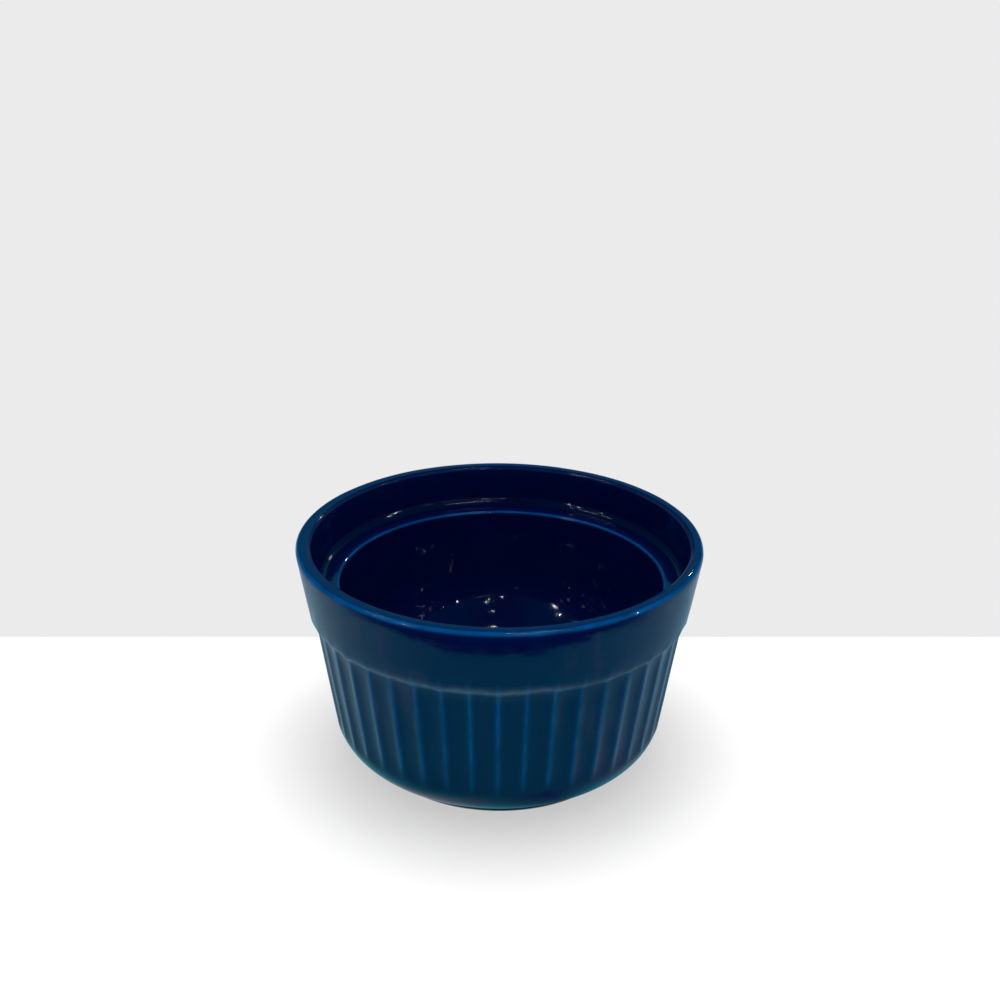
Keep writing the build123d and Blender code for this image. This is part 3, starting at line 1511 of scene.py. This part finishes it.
@dataclass(frozen=True)
class MirroredTable:
    """The table as the glass mirrors it: coloured near the dish, dark some way in front.

    Places are measured from the dish's axis, with X to the right and -Y to the front.
    The near stops give colours by X, close to the foot.
    """

    near_stops: tuple[tuple[float, Colour], ...] = (
        (-14.0 * MM, (0.34, 0.42, 0.50, 1.0)),
        (-1.0 * MM, (0.06, 0.34, 0.42, 1.0)),
        (14.0 * MM, (0.03, 0.11, 0.18, 1.0)),
        (24.0 * MM, (0.05, 0.34, 0.44, 1.0)),
        (36.0 * MM, (0.19, 0.37, 0.48, 1.0)),
    )
    near_width: float = 80.0 * MM
    near_turn: float = 0.25
    near_span: Span = (37.0 * MM, 44.0 * MM)
    front: Colour = (0.02, 0.39, 0.46, 1.0)
    left: Colour = (0.26, 0.47, 0.57, 1.0)
    right: Colour = (0.18, 0.38, 0.50, 1.0)
    front_span: Span = (-0.10, 0.88)
    haze: Colour = (0.40, 0.52, 0.56, 1.0)
    haze_scale: float = 55.0
    haze_detail: float = 3.0
    haze_patch_span: Span = (0.50, 0.72)
    haze_span: Span = (22.0 * MM, 50.0 * MM)
    haze_share: float = 0.38
    shade: Colour = (0.0, 0.01, 0.03, 1.0)
    shade_start: float = 86.2 * MM
    shade_bend: float = 0.72
    shade_edge: float = 1.5 * MM
    shade_fade: float = 70.0 * MM
    shade_waver: float = 5.0 * MM
    shade_scale: float = 22.0

    def colour(self, board: Board) -> bpy.types.NodeSocket:
        """Add the colour that the glass mirrors from each place on the table.

        Args:
            board: the board of the table's material.

        Returns:
            The colour.
        """
        place = board.add("ShaderNodeNewGeometry").outputs["Position"]
        split = board.add("ShaderNodeSeparateXYZ")
        board.feed(place, split.inputs[0])
        across, away, _ = split.outputs
        reach = board.add("ShaderNodeVectorMath", operation="LENGTH")
        board.feed(place, reach.inputs[0])
        distance = reach.outputs["Value"]
        ahead = board.work_out("DIVIDE", board.work_out("MULTIPLY", away, -1.0), distance)
        sides = board.blend(board.work_out("GREATER_THAN", across, 0.0), self.left, self.right)
        far = board.blend(board.grade(ahead, *self.front_span, eased=False), sides, self.front)
        far = board.blend(self.haze_mask(board, place, across), far, self.haze)
        turned = board.work_out("MULTIPLY_ADD", across, -self.near_turn, distance)
        colour = board.blend(board.grade(turned, *self.near_span), self.near(board, across), far)
        return board.blend(self.shade_mask(board, place, split, distance), colour, self.shade)

    def near(self, board: Board, across: bpy.types.NodeSocket) -> bpy.types.NodeSocket:
        """Add the colours close to the foot, from left to right.

        Args:
            board: the board of the table's material.
            across: the place's X.

        Returns:
            The colour.
        """
        share = board.work_out("MULTIPLY_ADD", across, 1 / self.near_width, 0.5)
        stops = tuple((0.5 + spot / self.near_width, colour) for spot, colour in self.near_stops)
        return board.ramp(share, stops)

    def haze_mask(self, board: Board, place: bpy.types.NodeSocket,
                  across: bpy.types.NodeSocket) -> bpy.types.NodeSocket:
        """Add the mask of the pale haze that lies in patches on both sides.

        Args:
            board: the board of the table's material.
            place: the place on the table.
            across: its X.

        Returns:
            The mask.
        """
        noise = board.noise(place, self.haze_scale, self.haze_detail)
        patch = board.grade(noise, *self.haze_patch_span, last=self.haze_share)
        aside = board.grade(board.work_out("ABSOLUTE", across), *self.haze_span)
        return board.work_out("MULTIPLY", patch, aside)

    def shade_mask(self, board: Board, place: bpy.types.NodeSocket, split: bpy.types.Node,
                   distance: bpy.types.NodeSocket) -> bpy.types.NodeSocket:
        """Add the mask of the dark front.

        The shade starts at a distance that grows towards both sides and wavers a little.

        Args:
            board: the board of the table's material.
            place: the place on the table.
            split: the node that splits the place into its parts.
            distance: how far the place is from the dish's axis.

        Returns:
            The mask.
        """
        across, away, _ = split.outputs
        aside = board.work_out("MULTIPLY", across, across)
        bend = board.work_out("MULTIPLY", aside, self.shade_bend)
        noise = board.noise(place, self.shade_scale)
        waver = board.work_out("MULTIPLY", noise, self.shade_waver)
        beyond = board.work_out("SUBTRACT", board.work_out("SUBTRACT", distance, bend), waver)
        start = self.shade_start - self.shade_waver / 2
        edge = board.grade(beyond, start, start + self.shade_edge)
        front = board.grade(away, -self.shade_fade, 0.0, first=1.0, last=0.0)
        return board.work_out("MULTIPLY", edge, front)


@dataclass
class Studio:
    """Pale table, plain backdrop and soft light, set up for a viewpoint."""

    viewpoint: Viewpoint
    room: Room = Room()
    mirrored_table: MirroredTable = MirroredTable()
    table_half_width: float = 3.0
    table_depth: float = 3.0
    table_colour: Colour = (0.93, 0.93, 0.93, 1.0)
    table_roughness: float = 0.9
    table_gloss: float = 0.1
    horizon_pixel: float = 637.0
    shadow_lift: float = 0.50
    lamp_place: tuple[float, float, float] = (0.0, 0.02, 0.90)
    lamp_aim: tuple[float, float, float] = (0.0, 0.0, 0.03)
    lamp_power: float = 5.6
    lamp_size: float = 0.40
    lamp_reach: float = 1.1
    glints: tuple[Glint, ...] = (
        Glint(-46.0, 26.5, 0.8),
        Glint(-54.0, 32.5, 1.1),
        Glint(-72.0, 32.0, 0.4),
        Glint(75.0, 28.0, 2.0),
        Glint(85.0, 37.0, 0.8),
        Glint(51.0, 26.0, 0.35),
        Glint(38.0, 25.5, 0.18),
        Glint(13.0, 31.0, 0.2),
        Glint(10.0, 28.0, 0.2),
        Glint(9.0, 41.5, 0.1),
        Glint(0.0, 25.5, 0.15),
        Glint(158.0, 32.0, 0.6),
        Glint(-61.0, 56.0, 0.7),
    )
    strips: tuple[Strip, ...] = (
        Strip((7.0, 60.0), (50.0, 60.0), 5.0 * MM, 0.5),
        Strip((-70.0, 60.0), (-95.0, 48.0), 5.0 * MM, 0.35),
        Strip((5.0, 23.5), (38.0, 23.5), 10.0 * MM, 0.035),
    )

    def build(self) -> None:
        """Set up the table, the world, the lamps and the view settings."""
        self.add_table()
        self.room.build()
        self.add_soft_lamp()
        for index, glint in enumerate(self.glints):
            self.add_glint(index, glint)
        for index, strip in enumerate(self.strips):
            self.add_strip(index, strip)
        bpy.context.scene.view_settings.view_transform = "Standard"

    def add_table(self) -> None:
        """Add the table top, which ends close behind the dish."""
        bpy.ops.object.select_all(action="DESELECT")
        bpy.ops.mesh.primitive_plane_add(size=2.0)
        table = bpy.context.object
        table.name = "table_top"
        left = self.viewpoint.table_point(0.0, self.horizon_pixel)
        right = self.viewpoint.table_point(self.viewpoint.image_pixels, self.horizon_pixel)
        along = (right - left).normalized()
        ahead = Vector((-along.y, along.x, 0.0))
        table.scale = (self.table_half_width, self.table_depth / 2, 1.0)
        table.rotation_euler = (0.0, 0.0, math.atan2(along.y, along.x))
        table.location = (left + right) / 2 - ahead * (self.table_depth / 2)
        bpy.ops.object.transform_apply(location=True, rotation=True, scale=True)
        material, board, shader = fresh_material("pale_table")
        shader.inputs["Base Color"].default_value = self.table_colour
        shader.inputs["Roughness"].default_value = self.table_roughness
        shader.inputs["Specular IOR Level"].default_value = self.table_gloss
        self.split_views(board, shader)
        table.data.materials.append(material)

    def split_views(self, board: Board, shader: bpy.types.Node) -> None:
        """Let the camera see a paler shadow on the table, and the glass its mirrored colours.

        Args:
            board: the board of the table's material.
            shader: the shader that everything but the glass sees.
        """
        path = board.add("ShaderNodeLightPath")
        white = board.add("ShaderNodeEmission")
        glow = board.add("ShaderNodeEmission")
        board.feed(self.mirrored_table.colour(board), glow.inputs["Color"])
        lift = board.work_out("MULTIPLY", path.outputs["Is Camera Ray"], self.shadow_lift)
        lifted = board.mix_shaders(lift, shader.outputs["BSDF"], white.outputs["Emission"])
        seen = board.mix_shaders(path.outputs["Is Glossy Ray"], lifted, glow.outputs["Emission"])
        output = next(node for node in board.tree.nodes if node.type == "OUTPUT_MATERIAL")
        board.feed(seen, output.inputs["Surface"])

    def add_soft_lamp(self) -> None:
        """Add the large soft lamp above the dish."""
        bpy.ops.object.light_add(type="AREA", location=self.lamp_place)
        lamp = bpy.context.object
        lamp.name = "soft_lamp"
        lamp.data.energy = self.lamp_power
        lamp.data.size = self.lamp_size
        view = Vector(self.lamp_aim) - lamp.location
        lamp.rotation_euler = view.to_track_quat("-Z", "Y").to_euler()
        lamp.visible_glossy = False

    def add_glint(self, index: int, glint: Glint) -> None:
        """Add one small lamp that is seen only as a point on the glass.

        Args:
            index: its place in the list of glints.
            glint: its direction and power.
        """
        place = self.lamp_spot(glint.azimuth, glint.elevation)
        bpy.ops.object.light_add(type="POINT", location=place)
        lamp = bpy.context.object
        lamp.name = f"glint_lamp_{index + 1}"
        lamp.data.energy = glint.power
        lamp.data.shadow_soft_size = glint.size
        lamp.visible_diffuse = False

    def add_strip(self, index: int, strip: Strip) -> None:
        """Add one lamp tube that is seen only as a line on the glass.

        Args:
            index: its place in the list of strips.
            strip: its ends, width and power.
        """
        first = self.lamp_spot(*strip.start)
        last = self.lamp_spot(*strip.end)
        along = (last - first).normalized()
        place = (first + last) / 2
        across = place.cross(along).normalized()
        bpy.ops.object.light_add(type="AREA", location=place)
        lamp = bpy.context.object
        lamp.name = f"strip_lamp_{index + 1}"
        lamp.data.shape = "RECTANGLE"
        lamp.data.size = (last - first).length
        lamp.data.size_y = strip.width
        lamp.data.energy = strip.power
        lamp.data.color = strip.colour
        turn = Matrix((along, across, along.cross(across))).transposed()
        lamp.rotation_euler = turn.to_euler()
        lamp.visible_diffuse = False

    def lamp_spot(self, azimuth_degrees: float, elevation_degrees: float) -> Vector:
        """Place of a far lamp, from its angles from the front and above the table.

        Args:
            azimuth_degrees: angle from the front, positive to the right.
            elevation_degrees: angle above the table.

        Returns:
            The place.
        """
        azimuth = math.radians(azimuth_degrees)
        elevation = math.radians(elevation_degrees)
        flat = math.cos(elevation)
        across = math.sin(azimuth) * flat
        away = -math.cos(azimuth) * flat
        return Vector((across, away, math.sin(elevation))) * self.lamp_reach


def main() -> None:
    """Build the ramekin's pieces in order, then the studio and the camera."""
    logging.basicConfig(level=logging.INFO, format="%(name)s: %(message)s")
    section = DishSection()
    flutes = Flutes()
    coat = GlazeCoat(section, flutes, CobaltGlaze()).build()
    clay = ClayBody(section, flutes, BareStoneware()).build()
    pool = BasePool(section, coat.data.materials[0]).build()
    for piece in (coat, clay, pool):
        mesh = piece.data
        LOG.info("%s: %d points, %d faces", piece.name, len(mesh.vertices), len(mesh.polygons))
    viewpoint = Viewpoint()
    Studio(viewpoint).build()
    viewpoint.build()


if __name__ == "__main__":
    main()
